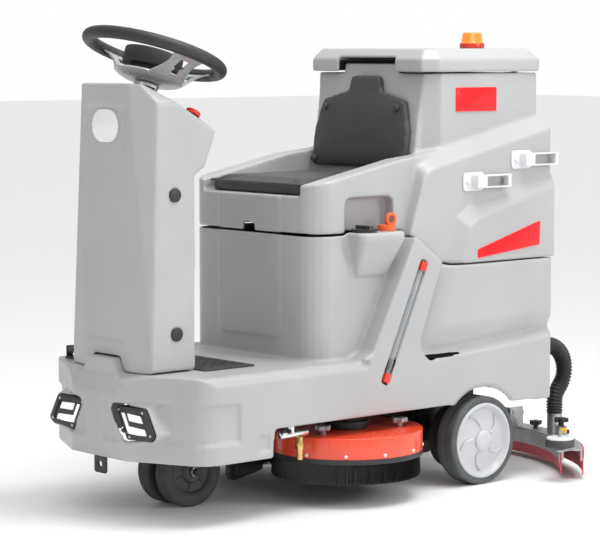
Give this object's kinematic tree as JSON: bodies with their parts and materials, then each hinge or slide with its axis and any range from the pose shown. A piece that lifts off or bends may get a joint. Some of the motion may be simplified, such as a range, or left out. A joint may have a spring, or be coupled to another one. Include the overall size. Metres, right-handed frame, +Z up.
{
  "type": "ride-on scrubber",
  "caption": "Ride-on floor scrubber with steered twin front wheels, tilting seat and recovery tank, lifting twin disc brush deck and curved rear squeegee.",
  "frame": {"origin": "on the floor, under the middle of the overall length and width", "axes": "+Z up, -Y forwards (bumper and steered wheels), +X to the driver's left"},
  "size_m": [0.976, 1.5969, 1.2876],
  "materials": {
    "grey_moulding": "rotomoulded, fine satin",
    "frame_steel": "black powder coat",
    "drive_steel": "satin",
    "battery_case": "matte",
    "black_plastic": "fine texture",
    "badge_white": "gloss",
    "light_white": "diffuser",
    "mat_rubber": "chequer",
    "chrome_pipe": "polished",
    "valve_brass": "satin",
    "clear_tube": "clear",
    "red_plastic": "gloss",
    "hose_black": "ribbed",
    "shaft_steel": "turned",
    "rim_black": "soft grip",
    "spoke_grey": "satin",
    "tyre_dark": "solid rubber",
    "hub_dark": "satin",
    "tyre_grey": "solid rubber",
    "rim_white": "satin",
    "seat_leather": "fine grain vinyl",
    "reflector_red": "prismatic",
    "clip_white": "satin",
    "beacon_amber": "ribbed amber",
    "shroud_orange": "gloss enamel",
    "knob_grey": "satin",
    "bristle_black": "bristle",
    "squeegee_alu": "cast",
    "blade_red": "linatex",
    "roller_grey": "satin",
    "cap_orange": "gloss"
  },
  "bodies": {
    "root": {"lower_body": "grey_moulding", "chassis_rails": "frame_steel", "chassis_crossmembers": "frame_steel", "transaxle": "drive_steel", "batteries": "battery_case", "column_body": "grey_moulding", "column_plugs": "black_plastic", "badge": "badge_white", "dash_panel": "black_plastic", "headlight_bezels": "black_plastic", "headlight_lenses": "light_white", "tow_plate": "frame_steel", "floor_mat": "mat_rubber", "pedal_bracket": "frame_steel", "water_pipe": "chrome_pipe", "water_valve": "valve_brass", "skid_block": "black_plastic", "sight_tube": "clear_tube", "sight_fittings": "red_plastic", "suction_hose": "hose_black", "hinge_base": "frame_steel", "steering_bearing": "shaft_steel", "steering_chain": "shaft_steel"},
    "steering_wheel": {"steering_rim": "rim_black", "steering_spokes": "spoke_grey", "steering_shaft": "shaft_steel"},
    "lower_steering": {"lower_shaft": "shaft_steel"},
    "fork": {"fork": "frame_steel"},
    "front_left_wheel": {"front_left_tyre": "tyre_dark", "front_left_hub": "hub_dark"},
    "front_right_wheel": {"front_right_tyre": "tyre_dark", "front_right_hub": "hub_dark"},
    "rear_left_wheel": {"rear_left_tyre": "tyre_grey", "rear_left_rim": "rim_white"},
    "rear_right_wheel": {"rear_right_tyre": "tyre_grey", "rear_right_rim": "rim_white"},
    "upper": {"upper_tank": "grey_moulding", "seat_cushion": "seat_leather", "back_pad": "seat_leather", "reflectors": "reflector_red", "side_clips": "clip_white"},
    "lid": {"lid": "grey_moulding", "beacon_base": "red_plastic", "beacon_lens": "beacon_amber"},
    "pedal": {"pedal": "black_plastic"},
    "emergency_stop": {"emergency_stop": "red_plastic"},
    "key": {"key_switch": "shaft_steel"},
    "speed_dial": {"speed_dial": "black_plastic"},
    "deck": {"deck_cover": "shroud_orange", "deck_knobs": "knob_grey", "brush_motors": "drive_steel"},
    "left_brush": {"brush_left": "bristle_black"},
    "right_brush": {"brush_right": "bristle_black"},
    "squeegee_arm": {"squeegee_arm": "squeegee_alu"},
    "squeegee": {"squeegee_body": "squeegee_alu", "squeegee_blades": "blade_red"},
    "left_roller": {"left_roller": "roller_grey"},
    "right_roller": {"right_roller": "roller_grey"},
    "filler_cap": {"filler_cap": "black_plastic"},
    "drain_cap": {"drain_cap": "cap_orange"}
  },
  "joints": [
    {"name": "steering", "type": "hinge", "parent": "root", "child": "steering_wheel", "pos_m": [0, -0.5895, 1.212], "axis": [0, 0.3256, 0.9455], "range_deg": [-150, 150]},
    {"name": "lower_steering", "type": "hinge", "parent": "root", "child": "lower_steering", "pos_m": [0, -0.67455, 0.5], "axis": [0, 0, 1], "range_deg": [-150, 150]},
    {"name": "fork_swivel", "type": "hinge", "parent": "root", "child": "fork", "pos_m": [0, -0.5145, 0.26], "axis": [0, 0, 1], "range_deg": [-66, 66]},
    {"name": "front_left_roll", "type": "hinge", "parent": "fork", "child": "front_left_wheel", "pos_m": [0.039, -0.5145, 0.097], "axis": [1, 0, 0], "continuous": true},
    {"name": "front_right_roll", "type": "hinge", "parent": "fork", "child": "front_right_wheel", "pos_m": [-0.039, -0.5145, 0.097], "axis": [1, 0, 0], "continuous": true},
    {"name": "rear_left_roll", "type": "hinge", "parent": "root", "child": "rear_left_wheel", "pos_m": [0.302, 0.3145, 0.125], "axis": [1, 0, 0], "continuous": true},
    {"name": "rear_right_roll", "type": "hinge", "parent": "root", "child": "rear_right_wheel", "pos_m": [-0.302, 0.3145, 0.125], "axis": [1, 0, 0], "continuous": true},
    {"name": "seat_tilt", "type": "hinge", "parent": "root", "child": "upper", "pos_m": [0, 0.6215, 0.627], "axis": [-1, 0, 0], "range_deg": [0, 75]},
    {"name": "lid_hinge", "type": "hinge", "parent": "upper", "child": "lid", "pos_m": [0, 0.6165, 1.154], "axis": [-1, 0, 0], "range_deg": [0, 80]},
    {"name": "pedal_press", "type": "hinge", "parent": "root", "child": "pedal", "pos_m": [-0.232, -0.6915, 0.414], "axis": [-1, 0, 0], "range_deg": [0, 12], "stiffness_Nm_per_rad": 3, "springref_deg": -6.88},
    {"name": "stop_press", "type": "slide", "parent": "root", "child": "emergency_stop", "axis": [0, -0.5036, -0.8639], "range_m": [0, 0.005], "stiffness_N_per_m": 600, "springref_m": -0.002},
    {"name": "key_turn", "type": "hinge", "parent": "root", "child": "key", "pos_m": [-0.06, -0.5566, 1.04549], "axis": [0, 0.5036, 0.8639], "range_deg": [0, 90]},
    {"name": "dial_turn", "type": "hinge", "parent": "root", "child": "speed_dial", "pos_m": [-0.11, -0.5566, 1.04549], "axis": [0, 0.5036, 0.8639], "range_deg": [0, 270]},
    {"name": "deck_lift", "type": "slide", "parent": "root", "child": "deck", "axis": [0, 0, -1], "range_m": [0, 0.063]},
    {"name": "left_brush_spin", "type": "hinge", "parent": "deck", "child": "left_brush", "pos_m": [0.208, -0.0955, 0.12], "axis": [0, 0, 1], "continuous": true},
    {"name": "right_brush_spin", "type": "hinge", "parent": "deck", "child": "right_brush", "pos_m": [-0.208, -0.0955, 0.12], "axis": [0, 0, 1], "continuous": true},
    {"name": "squeegee_lift", "type": "hinge", "parent": "root", "child": "squeegee_arm", "pos_m": [0, 0.5195, 0.175], "axis": [1, 0, 0], "range_deg": [-4.4, 15], "deforming": ["suction_hose"]},
    {"name": "squeegee_level", "type": "hinge", "parent": "squeegee_arm", "child": "squeegee", "pos_m": [0, 0.7095, 0.135], "axis": [1, 0, 0], "range_deg": [-15, 4.4]},
    {"name": "left_roller_spin", "type": "hinge", "parent": "squeegee", "child": "left_roller", "pos_m": [0.44597, 0.50875, 0.114], "axis": [0, 0, 1], "continuous": true},
    {"name": "right_roller_spin", "type": "hinge", "parent": "squeegee", "child": "right_roller", "pos_m": [-0.44597, 0.50875, 0.114], "axis": [0, 0, 1], "continuous": true},
    {"name": "filler_cap_turn", "type": "hinge", "parent": "root", "child": "filler_cap", "pos_m": [0.29, -0.1045, 0.733], "axis": [0, 0, 1], "range_deg": [0, 90]},
    {"name": "drain_cap_lift", "type": "slide", "parent": "root", "child": "drain_cap", "axis": [0, 0, 1], "range_m": [0, 0.02]}
  ],
  "couplings": [
    {"joint": "lower_steering", "follows": "steering", "ratio": 1},
    {"joint": "fork_swivel", "follows": "steering", "ratio": 0.43478},
    {"joint": "squeegee_level", "follows": "squeegee_lift", "ratio": -1}
  ]
}
